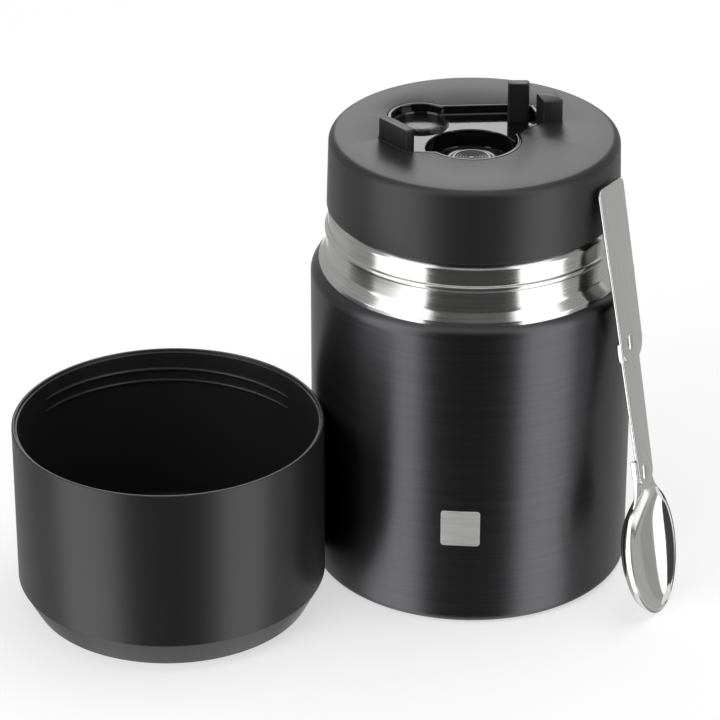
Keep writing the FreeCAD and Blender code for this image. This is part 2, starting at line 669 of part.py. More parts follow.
# Folding spoon, built flat in its own frame: X out of the bowl, Y to the right, Z up the spoon.
# It leans on the lid with the handle's end, or with its inner face where it stands taller.
lower_rivet = "(bowl_length + neck_length)"
upper_rivet = "(spoon_length - handle_length)"
lean = math.radians(value("spoon_lean"))
contact_height = min(value("spoon_length") * math.cos(lean),
                     value("lid_bottom + lid_height - lid_round"))
slope = (contact_height - value("lid_bottom")) / value("lid_height")
contact_radius = value("lid_radius") - value("lid_draft") * slope + value("lean_gap")
inner_face = value("strip_thickness") / 2 + value("slip_gap")
foot_distance = contact_radius + contact_height * math.tan(lean) - inner_face * math.cos(lean)
facing = FreeCAD.Rotation(UP, value("spoon_turn"))
spoon_foot = facing.multVec(Vector(foot_distance, -value("spoon_aside"), value("spoon_lift")))
spoon_rotation = facing.multiply(FreeCAD.Rotation(Vector(1, 0, 0), -value("spoon_tilt")))
spoon_rotation = spoon_rotation.multiply(FreeCAD.Rotation(Vector(0, 1, 0), -value("spoon_lean")))


def seat_on_spoon(thing, outwards):
    """Move a piece from the spoon's flat frame to where the spoon leans."""
    base = spoon_foot + spoon_rotation.multVec(Vector(value(outwards), 0, 0))
    thing.Placement = FreeCAD.Placement(base, spoon_rotation)


def pad(body, name, thickness, outline=(), circles=(), backwards=False):
    sketch = new_sketch(body, name + "_outline", "YZ_Plane")
    if outline:
        add_outline(sketch, outline)
    for circle in circles:
        add_circle(sketch, *circle)
    feature = body.newObject("PartDesign::Pad", name)
    feature.Profile = sketch
    feature.Reversed = backwards
    bind(feature, Length=thickness)
    document.recompute()
    return feature


def drill(body, name, up, radius):
    """A rivet hole through the strip at a height on the spoon."""
    sketch = new_sketch(body, name + "_outline", "YZ_Plane")
    add_circle(sketch, "0", up, radius)
    before = body.Shape.Volume
    feature = body.newObject("PartDesign::Pocket", name)
    feature.Profile = sketch
    feature.Type = "ThroughAll"
    feature.Reversed = True
    document.recompute()
    if not body.Shape.Volume < before:
        raise RuntimeError(name + " cut nothing")


def tapered_strip(name, low, low_width, high, high_width, round_high=True):
    """A flat strip with a rounded end at its lower rivet, and at its upper one if it has one."""
    body = new_body(name)
    pad(body, name + "_strip", "strip_thickness", outline=(
        ("-" + low_width + " / 2", low),
        (low_width + " / 2", low),
        (high_width + " / 2", high),
        ("-" + high_width + " / 2", high),
    ))
    pad(body, name + "_end", "strip_thickness", circles=(("0", low, low_width + " / 2"),))
    if round_high:
        pad(body, name + "_top", "strip_thickness", circles=(("0", high, high_width + " / 2"),))
    return body


def tab_outline(edge, low, high):
    """A tab to the left of a strip's edge."""
    inside = "-(" + edge + " / 2 + free_gap)"
    outside = "-(" + edge + " / 2 + free_gap + tab_wall)"
    return ((outside, low), (inside, low), (inside, high), (outside, high))


hole_radius = "rivet_radius + seat_gap"
spoon_handle = tapered_strip("spoon_handle", upper_rivet, "handle_root", "spoon_length",
                             "handle_width", round_high=False)
handle_end = value("spoon_length") - 0.01
square_handle = spoon_handle.Tip
handle_corners = [
    "Edge%d" % index for index, edge in enumerate(square_handle.Shape.Edges, start=1)
    if edge.BoundBox.ZMin > handle_end and edge.BoundBox.YLength < 0.01
]
rounding = spoon_handle.newObject("PartDesign::Fillet", "handle_corners")
rounding.Base = (square_handle, handle_corners)
bind(rounding, Radius="handle_round")
document.recompute()
handle_tab = tab_outline("link_width", upper_rivet + " - tab_length", upper_rivet + " + tab_wall")
pad(spoon_handle, "handle_tab_face", "strip_thickness", outline=handle_tab)
pad(spoon_handle, "handle_tab", "strip_thickness + slip_gap", outline=handle_tab, backwards=True)
drill(spoon_handle, "handle_hole", upper_rivet, hole_radius)
seat_on_spoon(spoon_handle, "strip_thickness / 2 + slip_gap")

spoon_link = tapered_strip("spoon_link", lower_rivet, "link_foot", upper_rivet, "link_width")
drill(spoon_link, "link_upper_hole", upper_rivet, "rivet_radius")
drill(spoon_link, "link_lower_hole", lower_rivet, "rivet_radius")
seat_on_spoon(spoon_link, "-strip_thickness / 2")


def riveted(name, up, low, high):
    """A rivet through two strips, with a head on each side, its axis along X."""
    shank = Part.makeCylinder(value("rivet_radius"), high - low, Vector(low, 0, up), Vector(1, 0, 0))
    cap = value("rivet_cap")
    head_low = Part.makeCylinder(value("rivet_head"), cap, Vector(low, 0, up), Vector(-1, 0, 0))
    head_high = Part.makeCylinder(value("rivet_head"), cap, Vector(high, 0, up), Vector(1, 0, 0))
    rounded = []
    for head, end in ((head_low, low - cap), (head_high, high + cap)):
        rims = [edge for edge in head.Edges
                if edge.BoundBox.XLength < 0.01 and abs(edge.BoundBox.XMin - end) < 0.01]
        rounded.append(head.makeFillet(cap * 0.7, rims))
    return new_feature(name, shank.fuse(rounded).removeSplitter())


half = value("strip_thickness") / 2
layer = value("strip_thickness") + value("slip_gap")
play = value("seat_gap")
handle_rivet = riveted("handle_rivet", value(upper_rivet), -half, half + layer + play)
bowl_rivet = riveted("bowl_rivet", value(lower_rivet), -half - layer - play, half)
seat_on_spoon(handle_rivet, "0")
seat_on_spoon(bowl_rivet, "0")

# Bowl: a pressed half egg with a flat neck and a stop tab.
bowl_neck = tapered_strip("bowl_neck_strip", "bowl_length * 0.8", "bowl_neck", lower_rivet, "bowl_neck")
pad(bowl_neck, "bowl_tab_face", "strip_thickness",
    outline=tab_outline("link_foot", lower_rivet + " - tab_wall", lower_rivet + " + tab_length"))
pad(bowl_neck, "bowl_tab", "strip_thickness * 2 + slip_gap",
    outline=tab_outline("link_foot", lower_rivet + " - tab_wall", lower_rivet + " + tab_length"))
drill(bowl_neck, "bowl_hole", lower_rivet, hole_radius)


def half_egg(name, shrink):
    """The half of an ellipsoid behind the rim's plane, smaller by a wall."""
    egg = document.addObject("Part::Ellipsoid", name)
    egg.Angle1 = -90
    egg.Angle2 = 90
    egg.Angle3 = 360
    bind(egg, Radius2="bowl_depth - " + shrink, Radius3="bowl_width / 2 - " + shrink,
         Radius1="bowl_length / 2 - " + shrink, Placement__Base__z="bowl_length / 2",
         Placement__Base__x="strip_thickness")
    return egg


outer_egg = half_egg("outer_egg", "0")
inner_egg = half_egg("inner_egg", "strip_thickness")
behind = bind(document.addObject("Part::Box", "behind_rim"), Length="2 * bowl_depth",
              Width="2 * bowl_width", Height="2 * bowl_length",
              Placement__Base__x="strip_thickness - 2 * bowl_depth",
              Placement__Base__y="-bowl_width", Placement__Base__z="-bowl_length / 2")
bowl_outside = combined("Part::Common", "bowl_outside", outer_egg, behind)
bowl_with_neck = combined("Part::Fuse", "bowl_with_neck", bowl_outside, bowl_neck)
spoon_bowl = combined("Part::Cut", "spoon_bowl", bowl_with_neck, inner_egg)
seat_on_spoon(spoon_bowl, "-strip_thickness * 3 / 2 - slip_gap")

document.recompute()

NODES = (
    outer_shell, neck_ring, shell_base, base_pad, seal_bead, getter, liner, radiation_foil,
    badge_plate, lid_cover, spoon_tray, stopper, lid_insulation, lid_gasket, vent_button,
    vent_seal, vent_spring, cup, spoon_handle, spoon_link, handle_rivet, bowl_rivet, spoon_bowl,
)
for thing in document.Objects:
    if "Invalid" in thing.State or "Error" in thing.State:
        raise RuntimeError(thing.Name + " did not build")
os.makedirs("parts", exist_ok=True)
for node in NODES:
    if node.Shape.isNull() or not node.Shape.isValid() or not node.Shape.Solids:
        raise RuntimeError(node.Label + " has no valid solid")
for node in NODES:
    node.Shape.exportStep("parts/%s.step" % node.Label)
    box = node.Shape.BoundBox
    print("%-16s %d solid %10.1f mm3  x %.1f..%.1f y %.1f..%.1f z %.1f..%.1f" % (
        node.Label, len(node.Shape.Solids), node.Shape.Volume, box.XMin, box.XMax,
        box.YMin, box.YMax, box.ZMin, box.ZMax))
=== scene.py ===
import json
import math
import bmesh
import bpy
from mathutils import Matrix, Vector


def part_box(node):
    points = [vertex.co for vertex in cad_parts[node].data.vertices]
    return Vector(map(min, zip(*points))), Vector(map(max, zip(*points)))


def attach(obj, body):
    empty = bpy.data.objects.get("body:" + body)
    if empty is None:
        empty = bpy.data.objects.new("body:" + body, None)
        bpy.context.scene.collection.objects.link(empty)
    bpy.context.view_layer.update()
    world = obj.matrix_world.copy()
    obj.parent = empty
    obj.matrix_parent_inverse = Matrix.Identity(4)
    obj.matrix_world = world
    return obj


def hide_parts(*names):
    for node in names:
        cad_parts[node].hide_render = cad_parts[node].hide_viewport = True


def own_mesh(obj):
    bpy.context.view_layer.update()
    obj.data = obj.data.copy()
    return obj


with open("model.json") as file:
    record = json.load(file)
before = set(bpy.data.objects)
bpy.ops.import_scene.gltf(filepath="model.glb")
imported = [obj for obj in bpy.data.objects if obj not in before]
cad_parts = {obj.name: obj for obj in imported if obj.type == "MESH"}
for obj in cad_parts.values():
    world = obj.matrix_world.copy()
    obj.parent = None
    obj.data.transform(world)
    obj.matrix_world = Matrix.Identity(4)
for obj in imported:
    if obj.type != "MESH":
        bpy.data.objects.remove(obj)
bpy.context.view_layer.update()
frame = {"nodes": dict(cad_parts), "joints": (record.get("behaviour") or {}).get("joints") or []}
nodes = frame["nodes"]
scene = bpy.context.scene


# Outer shell: the drawn steel wall of the jar, with a rounded shoulder and a foot rolled in to
# the ring that it stands on. Its brushed skin carries a thin black coating, which keeps the
# fine lines that run round the jar and gives soft upright sheens.
def linear(colour):
    """A colour for a shader socket from its sRGB hex value."""
    parts = [int(colour[i:i + 2], 16) / 255 for i in (1, 3, 5)]
    return [c / 12.92 if c <= 0.04045 else ((c + 0.055) / 1.055) ** 2.4 for c in parts] + [1.0]


def add(tree, kind, inputs=None, **settings):
    """A node with its settings, and its inputs fed by values or by other nodes' sockets."""
    node = tree.nodes.new(kind)
    for name, setting in settings.items():
        setattr(node, name, setting)
    for name, feed in (inputs or {}).items():
        if isinstance(feed, bpy.types.NodeSocket):
            tree.links.new(feed, node.inputs[name])
        else:
            node.inputs[name].default_value = feed
    return node


def principled(name, **sockets):
    """A material with its tree and its shader, whose constant sockets are set here."""
    material = bpy.data.materials.new(name)
    material.use_nodes = True
    tree = material.node_tree
    shader = tree.nodes["Principled BSDF"]
    for socket, setting in sockets.items():
        shader.inputs[socket.replace("_", " ")].default_value = setting
    return material, tree, shader


def patterned(tree, stretch, detail=3.0):
    """Noise on the object's own coordinates, stretched so that its grains have a real size."""
    place = add(tree, "ShaderNodeTexCoord").outputs["Object"]
    mapping = add(tree, "ShaderNodeMapping", {"Vector": place, "Scale": stretch})
    noise = add(tree, "ShaderNodeTexNoise",
                {"Vector": mapping.outputs["Vector"], "Scale": 1.0, "Detail": detail})
    return noise.outputs["Fac"]


def vary(tree, shader, pattern, colours, roughness, relief, height=0.00002):
    """Let one pattern tint the colour, spread the roughness and raise the surface a little."""
    ramp = add(tree, "ShaderNodeValToRGB", {"Fac": pattern})
    for stop, place, colour in zip(ramp.color_ramp.elements, (0.3, 0.7), colours):
        stop.position = place
        stop.color = linear(colour)
    spread = add(tree, "ShaderNodeMapRange", {"Value": pattern, "From Min": 0.3, "From Max": 0.7,
                                              "To Min": roughness[0], "To Max": roughness[1]})
    bump = add(tree, "ShaderNodeBump", {"Height": pattern, "Strength": relief, "Distance": height})
    tree.links.new(ramp.outputs["Color"], shader.inputs["Base Color"])
    tree.links.new(spread.outputs["Result"], shader.inputs["Roughness"])
    tree.links.new(bump.outputs["Normal"], shader.inputs["Normal"])


def brushed_round(tree, shader):
    """Let the shader's fine lines run round the jar's axis."""
    around = add(tree, "ShaderNodeTangent", direction_type="RADIAL", axis="Z")
    tree.links.new(around.outputs["Tangent"], shader.inputs["Tangent"])


def arc(radius, height, bend, start, end, steps=8):
    """Points of an outline round a bend's centre, from one angle in degrees to another."""
    turns = [math.radians(start + (end - start) * i / steps) for i in range(steps + 1)]
    return [(radius + bend * math.cos(t), height + bend * math.sin(t)) for t in turns]


def rounded(corners, steps=5):
    """An outline whose corners of three numbers are rounded by the third."""
    points = []
    for index, corner in enumerate(corners):
        if len(corner) == 2:
            points.append(corner)
            continue
        here = Vector(corner[:2])
        before = Vector(corners[index - 1][:2]) - here
        after = Vector(corners[(index + 1) % len(corners)][:2]) - here
        half = before.angle(after) / 2
        reach = corner[2] / math.tan(half)
        start = here + before.normalized() * reach
        end = here + after.normalized() * reach
        middle = here + (before.normalized() + after.normalized()).normalized() * (
            corner[2] / math.sin(half))
        sweep = (start - middle).angle_signed(end - middle)
        for step in range(steps + 1):
            spoke = (start - middle) @ Matrix.Rotation(sweep * step / steps, 2)
            points.append(tuple(middle + spoke))
    return points


def finished(name, mesh, material, body, slot, *replaced):
    """A piece with smooth faces and crisp edges, in its body and place. Its slot is not used."""
    mesh.materials.clear()
    mesh.materials.append(material)
    mesh.shade_smooth()
    mesh.set_sharp_from_angle(angle=math.radians(38))
    piece = bpy.data.objects.new(name, mesh)
    scene.collection.objects.link(piece)
    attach(piece, body)
    if replaced:
        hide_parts(*replaced)
    return piece


def loft(loops, closed=True):
    """A skin over loops of as many points each: back to the first loop, or closed at the ends."""
    work = bmesh.new()
    rings = [[work.verts.new(point) for point in loop] for loop in loops]
    if closed:
        rings.append(rings[0])
    for near, far in zip(rings, rings[1:]):
        for index in range(len(near)):
            following = (index + 1) % len(near)
            work.faces.new((near[index], near[following], far[following], far[index]))
    if not closed:
        work.faces.new(rings[0])
        work.faces.new(list(reversed(rings[-1])))
    bmesh.ops.remove_doubles(work, verts=work.verts, dist=1e-6)
    bmesh.ops.recalc_face_normals(work, faces=work.faces)
    mesh = bpy.data.meshes.new("skin")
    work.to_mesh(mesh)
    work.free()
    return mesh


def lathed(outline, centre=(0, 0), steps=288, closed=True):
    """A skin turned round an upright axis from an outline of radii and heights."""
    turns = [2 * math.pi * i / steps for i in range(steps)]
    return loft([[(centre[0] + radius * math.cos(t), centre[1] + radius * math.sin(t), height)
                  for t in turns] for radius, height in outline], closed)


shell_radius = 0.052
shell_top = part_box("outer_shell")[1].z
shell_sheet = 0.0008
shoulder_round = 0.004
foot_round = 0.003
foot_ring_radius = 0.046
neck_ring_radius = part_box("neck_ring")[1].x
shoulder_centre = shell_radius - shoulder_round
seat_gap = 0.00005
lip_angle = math.degrees(
    math.acos((neck_ring_radius + seat_gap - shoulder_centre) / shoulder_round))
coating, tree, shader = principled("black_coated_brushed_steel", Metallic=1.0, Anisotropic=0.6,
                                   Anisotropic_Rotation=0.25)
vary(tree, shader, patterned(tree, (24, 24, 1500)), ("#4b4b4d", "#525254"), (0.33, 0.37), 0.05)
brushed_round(tree, shader)
shell_outline = (
    [(foot_ring_radius, shell_sheet), (foot_ring_radius, 0)]
    + arc(shell_radius - foot_round, foot_round, foot_round, -90, 0)
    + arc(shoulder_centre, shell_top - shoulder_round, shoulder_round, 0, lip_angle)
    + arc(shoulder_centre, shell_top - shoulder_round, shoulder_round - shell_sheet, lip_angle, 0)
    + arc(shell_radius - foot_round, foot_round, foot_round - shell_sheet, 0, -90))
finished("painted_wall", lathed(shell_outline), coating, "jar", "painted_shell", "outer_shell")

# Blank badge: a thin square of stainless steel, bent to the wall and glued on. It is left
# plain. Its face is blasted matt and then brushed level, so it stays pale from every side.
badge_low, badge_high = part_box("badge_plate")
badge_side = badge_high.z - badge_low.z
badge_middle = (badge_high.z + badge_low.z) / 2
badge_turn = math.radians(265.2)
badge_inside = shell_radius + seat_gap
badge_sheet = 0.0003
badge_corner = 0.0011
badge_edge = 0.00012
badge_core = 0.85
badge_steel, tree, shader = principled("blasted_stainless_badge", Metallic=0.45)
vary(tree, shader, patterned(tree, (90, 90, 2200)), ("#d6d6d5", "#e6e6e4"), (0.4, 0.5), 0.2)


def badge_loop(inset, radius):
    """The badge's outline, moved inwards, on a cylinder of that radius."""
    half = badge_side / 2 - inset
    corner = max(badge_corner - inset, 0.0001)
    flat = rounded([(-half, -half, corner), (half, -half, corner), (half, half, corner),
                    (-half, half, corner)])
    loop = []
    for across, up in flat:
        turn = badge_turn + across / shell_radius
        loop.append((radius * math.cos(turn), radius * math.sin(turn), badge_middle + up))
    return loop


badge_outside = badge_inside + badge_sheet
badge_loops = [badge_loop(0, badge_inside), badge_loop(0, badge_outside - badge_edge),
               badge_loop(badge_edge, badge_outside)]
badge_loops += [badge_loop(badge_side / 2 * share, badge_outside)
                for share in (0.3, 0.6, badge_core)]
badge_loops = [badge_loop(badge_side / 2 * badge_core, badge_inside)] + badge_loops
finished("blank_badge", loft(badge_loops, closed=False), badge_steel, "jar", "badge_steel",
         "badge_plate")

# Base: a rolled steel plate welded in the ring, with the bead of solder glass that seals the
# vacuum under a soft silicone pad, and a getter tablet on its inner side.
plain_steel, tree, shader = principled("rolled_stainless_sheet", Metallic=1.0)
vary(tree, shader, patterned(tree, (900, 140, 300)), ("#9a9a98", "#b4b4b1"), (0.3, 0.42), 0.12)
sinter, tree, shader = principled("sintered_getter_metal", Metallic=1.0)
vary(tree, shader, patterned(tree, (2600, 2600, 2600)), ("#6f6c68", "#8c8984"), (0.55, 0.75), 0.6)
solder_glass, tree, shader = principled("solder_glass", IOR=1.6)
vary(tree, shader, patterned(tree, (900, 900, 900)), ("#5b5349", "#7a7265"), (0.12, 0.2), 0.1)
silicone, tree, shader = principled("moulded_silicone", IOR=1.42)
vary(tree, shader, patterned(tree, (1500, 1500, 1500)), ("#2b2b2d", "#37373a"), (0.6, 0.72), 0.25)


def dressed(name, material):
    """Give a solid that comes straight from the frame its material."""
    nodes[name].data.materials.clear()
    nodes[name].data.materials.append(material)


dressed("shell_base", plain_steel)
dressed("getter", sinter)
dressed("seal_bead", solder_glass)
dressed("base_pad", silicone)

# Neck: a pressed stainless ring with a bright foot, a flare, a bead that the cup grips, and
# ridges for the lid above its step. It is brushed round the axis, so what it reflects is
# smeared up and down and stays sharp sideways.
neck_low, neck_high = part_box("neck_ring")
neck_sheet = 0.0008
foot_radius, foot_top = 0.0494, 0.1068
waist_radius, waist_low, waist_high = 0.0469, 0.1098, 0.11625
bead_radius, bead_low, bead_high = 0.0474, 0.1168, 0.1179
throat_radius, throat_low, throat_high = 0.0464, 0.1183, 0.1234
mouth_radius, mouth_low = 0.0432, 0.1266
neck_outside = rounded([
    (foot_radius, neck_low.z), (foot_radius, foot_top, 0.0006), (waist_radius, waist_low, 0.002),
    (waist_radius, waist_high, 0.0004), (bead_radius, bead_low, 0.0005),
    (bead_radius, bead_high, 0.0005), (throat_radius, throat_low, 0.0004),
    (throat_radius, throat_high, 0.001), (mouth_radius, mouth_low, 0.001),
    (mouth_radius, neck_high.z)])
neck_inside = [(radius - neck_sheet, height) for radius, height in reversed(neck_outside)]
neck_steel, tree, shader = principled("brushed_stainless_neck", Metallic=1.0, Anisotropic=0.8,
                                      Anisotropic_Rotation=0.25)
vary(tree, shader, patterned(tree, (24, 24, 1700)), ("#c4c4c2", "#d0d0ce"), (0.17, 0.22), 0.05)
brushed_round(tree, shader)
finished("neck", lathed(neck_outside + neck_inside), neck_steel, "jar", "brushed_neck",
         "neck_ring")

# Ridges of the threads: rolled into the steel of the neck, and moulded in the lid and the cup.
# One tree winds a round ridge up a helix, thins it out at both ends, and repeats it.
ridges = bpy.data.node_groups.new("helical_ridges", "GeometryNodeTree")
for name, kind in (("Radius", "Float"), ("Lead", "Float"), ("Rise", "Float"),
                   ("Thickness", "Float"), ("Turn", "Float"), ("Foot", "Vector"),
                   ("Count", "Int"), ("Material", "Material")):
    ridges.interface.new_socket(name=name, in_out="INPUT", socket_type="NodeSocket" + kind)
ridges.interface.new_socket(name="Geometry", in_out="OUTPUT", socket_type="NodeSocketGeometry")
given = add(ridges, "NodeGroupInput").outputs
turns = add(ridges, "ShaderNodeMath", {0: given["Rise"], 1: given["Lead"]}, operation="DIVIDE")
spiral = add(ridges, "GeometryNodeCurveSpiral",
             {"Resolution": 160, "Rotations": turns.outputs[0], "Start Radius": given["Radius"],
              "End Radius": given["Radius"], "Height": given["Rise"], "Reverse": True})
along = add(ridges, "GeometryNodeSplineParameter").outputs["Factor"]
left = add(ridges, "ShaderNodeMath", {0: 1.0, 1: along}, operation="SUBTRACT").outputs[0]
nearest = add(ridges, "ShaderNodeMath", {0: along, 1: left}, operation="MINIMUM").outputs[0]
swell = add(ridges, "ShaderNodeMath", {0: nearest, 1: 12.0}, operation="MULTIPLY",
            use_clamp=True).outputs[0]
bulge = add(ridges, "ShaderNodeMath", {0: swell, 1: 0.5}, operation="POWER").outputs[0]
half_thick = add(ridges, "ShaderNodeMath", {0: given["Thickness"], 1: 0.5}, operation="MULTIPLY")
section = add(ridges, "GeometryNodeCurvePrimitiveCircle",
              {"Resolution": 12, "Radius": half_thick.outputs[0]})
ridge = add(ridges, "GeometryNodeCurveToMesh",
            {"Curve": spiral.outputs["Curve"], "Profile Curve": section.outputs["Curve"],
             "Scale": bulge, "Fill Caps": True})
starts = add(ridges, "GeometryNodePoints", {"Count": given["Count"], "Position": given["Foot"]})
number = add(ridges, "GeometryNodeInputIndex").outputs[0]
share = add(ridges, "ShaderNodeMath", {0: math.tau, 1: given["Count"]}, operation="DIVIDE")
turned = add(ridges, "ShaderNodeMath", {0: number, 1: share.outputs[0], 2: given["Turn"]},
             operation="MULTIPLY_ADD")
euler = add(ridges, "ShaderNodeCombineXYZ", {"Z": turned.outputs[0]})
rotation = add(ridges, "FunctionNodeEulerToRotation", {"Euler": euler.outputs["Vector"]})
copies = add(ridges, "GeometryNodeInstanceOnPoints",
             {"Points": starts.outputs[0], "Instance": ridge.outputs["Mesh"],
              "Rotation": rotation.outputs["Rotation"]})
solid = add(ridges, "GeometryNodeRealizeInstances", {"Geometry": copies.outputs["Instances"]})
coloured = add(ridges, "GeometryNodeSetMaterial",
               {"Geometry": solid.outputs["Geometry"], "Material": given["Material"]})
add(ridges, "NodeGroupOutput", {"Geometry": coloured.outputs["Geometry"]})


def grown(tree, **sizes):
    """The plain mesh that a tree of Geometry Nodes makes from its named inputs."""
    holder = bpy.data.objects.new("holder", bpy.data.meshes.new("holder"))
    scene.collection.objects.link(holder)
    modifier = holder.modifiers.new("nodes", "NODES")
    modifier.node_group = tree
    for item in tree.interface.items_tree:
        if item.in_out == "INPUT":
            modifier[item.identifier] = sizes[item.name]
    evaluated = holder.evaluated_get(bpy.context.evaluated_depsgraph_get())
    mesh = bpy.data.meshes.new_from_object(evaluated)
    bpy.data.objects.remove(holder)
    return mesh


thread_lead = 0.012
thread_rise = 0.0045
thread_start = 0.1296
ridge_thickness = 0.0022
neck_ridge_radius = mouth_radius + 0.0001
finished("neck_thread",
         grown(ridges, Radius=neck_ridge_radius, Lead=thread_lead, Rise=thread_rise, Turn=0.0,
               Count=3, Thickness=ridge_thickness, Foot=(0, 0, thread_start),
               Material=neck_steel),
         neck_steel, "jar", "brushed_neck")

# Liner: the drawn steel food vessel, electropolished inside, hung from a lip on the neck's top
# edge, with a bright foil round it that holds heat back.
liner_low, liner_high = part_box("liner")
liner_radius = 0.0405
liner_sheet = 0.0006
liner_round = 0.009
pole_radius = 0.0004
food_steel, tree, shader = principled("electropolished_stainless", Metallic=1.0)
vary(tree, shader, patterned(tree, (40, 40, 1400)), ("#a8a8a6", "#bcbcba"), (0.14, 0.24), 0.1)
liner_wall = liner_radius + liner_sheet
liner_outline = rounded([
    (pole_radius, liner_low.z), (liner_wall, liner_low.z, liner_round),
    (liner_wall, neck_high.z), (mouth_radius, neck_high.z),
    (mouth_radius, liner_high.z, 0.0002), (liner_radius, liner_high.z, 0.0003),
    (liner_radius, liner_low.z + liner_sheet, liner_round - liner_sheet),
    (pole_radius, liner_low.z + liner_sheet)], steps=8)
finished("food_liner", lathed(liner_outline, closed=False), food_steel, "jar", "liner_steel",
         "liner")
foil, tree, shader = principled("bright_aluminium_foil", Metallic=1.0)
vary(tree, shader, patterned(tree, (420, 420, 420)), ("#c9c9c8", "#dedede"), (0.12, 0.3), 0.8)
dressed("radiation_foil", foil)

# Lid cover: a moulded polypropylene skirt and top in satin black, with a fine spark-eroded
# texture that scatters light. Its top is cut out for the spoon's tray.
slot_corners = [
    (-0.0292, -0.0044), (-0.0214, -0.0139), (-0.0100, -0.0150), (0.0110, -0.0044),
    (0.0173, 0.0054), (0.0220, 0.0082), (0.0186, 0.0206), (0.0102, 0.0214),
    (-0.0092, 0.0203), (-0.0260, 0.0115)]
well_centre = Vector((-0.001, -0.0055))
well_radius = 0.0145
lobe_centre = Vector((-0.0168, 0.013))
lobe_radius = 0.0094
plan_centre = Vector((-0.006, 0.006))
plan_steps = 320
tray_wall = 0.0012


def slot_distance(point):
    """How far a point of the plan is outside the slot's straight-sided part."""
    nearest = 1.0
    inside = False
    for start, end in zip(slot_corners, slot_corners[1:] + slot_corners[:1]):
        start, end = Vector(start), Vector(end)
        side = end - start
        share = min(max((point - start).dot(side) / side.length_squared, 0), 1)
        nearest = min(nearest, (point - start - side * share).length)
        if (start.y > point.y) != (end.y > point.y):
            if point.x < start.x + side.x * (point.y - start.y) / side.y:
                inside = not inside
    return -nearest if inside else nearest


def plan_distance(point):
    """How far a point of the plan is outside the slot, the finger well and the round dish."""
    return min(slot_distance(point), (point - well_centre).length - well_radius,
               (point - lobe_centre).length - lobe_radius)


def reach_to(distance, grow, far=0.042):
    """Points where rays from the plan's centre meet an outline that is grown by a length."""
    found = []
    for step in range(plan_steps):
        turn = math.tau * step / plan_steps
        ray = Vector((math.cos(turn), math.sin(turn)))
        reach = far
        for attempt in range(60):
            gap = distance(plan_centre + ray * reach) - grow
            reach -= gap
            if gap < 1e-6:
                break
        found.append(plan_centre + ray * reach)
    return found


def level(points, height):
    """Points of the plan, all at one height."""
    return [(point.x, point.y, height) for point in points]


lid_low, lid_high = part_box("lid_cover")
lid_radius = 0.0468
lid_top_radius = lid_radius - 0.0007
lid_wall = 0.0019
lid_plate = 0.0018
lid_round = 0.0028
lid_top = lid_high.z
cover_edge = 0.0003
skirt = rounded([
    (lid_radius - lid_wall, lid_low.z), (lid_radius, lid_low.z, 0.0005),
    (lid_top_radius, lid_top, lid_round), (lid_top_radius - 2 * lid_round, lid_top)], steps=8)
opening = tray_wall + seat_gap
edge_turns = [math.atan2(*reversed(point)) for point in reach_to(
    lambda point: point.length - lid_top_radius, 0, far=0.06)]
cover_loops = [[(radius * math.cos(t), radius * math.sin(t), height) for t in edge_turns]
               for radius, height in skirt]
cover_loops += [
    level(reach_to(plan_distance, opening + cover_edge), lid_top),
    level(reach_to(plan_distance, opening + cover_edge * 0.3), lid_top - cover_edge * 0.3),
    level(reach_to(plan_distance, opening), lid_top - cover_edge),
    level(reach_to(plan_distance, opening), lid_top - lid_plate)]
cover_loops.append([((lid_top_radius - lid_wall) * math.cos(t),
                     (lid_top_radius - lid_wall) * math.sin(t), lid_top - lid_plate)
                    for t in edge_turns])
satin_black, tree, shader = principled("satin_moulded_polypropylene", IOR=1.5)
vary(tree, shader, patterned(tree, (2200, 2200, 2200), 4.0), ("#1e1e20", "#252527"),
     (0.36, 0.43), 0.12)
finished("lid_cover_moulding", loft(cover_loops), satin_black, "lid", "lid_plastic", "lid_cover")
lid_ridge_radius = 0.0451
finished("lid_thread",
         grown(ridges, Radius=lid_ridge_radius, Lead=thread_lead, Rise=thread_rise,
               Turn=math.pi / 3, Count=3, Thickness=ridge_thickness,
               Foot=(0, 0, thread_start), Material=satin_black),
         satin_black, "lid", "lid_plastic")

# Spoon tray: a gloss black ABS moulding glued under the lid's plate. It has a shallow floor for
# the folded spoon, a round dish for its bowl, and a deep finger well round the vent button.
tray_edge = 0.00025
tray_floor = 0.0014
floor_height = lid_top - 0.003
well_floor = lid_top - 0.009
collar_radius = 0.008
collar_bore = 0.0066
collar_top = well_floor + 0.0024
stem_hole = 0.0019
dish_depth = 0.0011
flange_high = lid_top - lid_plate - seat_gap
flange_low = flange_high - tray_floor
tray_outside = reach_to(plan_distance, tray_wall)
tray_flange = reach_to(plan_distance, tray_wall + 0.0018)
tray_inside = reach_to(plan_distance, 0)
foot_inside = reach_to(plan_distance, -0.0004)
well_inside = reach_to(lambda point: (point - well_centre).length - well_radius, 0)


def farther(one, other):
    """Of two outlines, the points that are farther from the plan's centre."""
    return [a if (a - plan_centre).length > (b - plan_centre).length else b
            for a, b in zip(one, other)]


def nearer(one, other):
    """Of two outlines, the points that are nearer to the plan's centre."""
    return [b if (a - plan_centre).length > (b - plan_centre).length else a
            for a, b in zip(one, other)]


def well_ring(radius, height):
    """A circle round the well's centre whose points answer those of the well's wall."""
    return [tuple(well_centre + (point - well_centre).normalized() * radius) + (height,)
            for point in well_inside]


def dished(points):
    """Points of the tray's floor, sunk where the round dish is."""
    loop = []
    for point in points:
        share = (point - lobe_centre).length / lobe_radius
        sink = dish_depth * max(1 - share * share, 0)
        loop.append((point.x, point.y, floor_height - sink))
    return loop


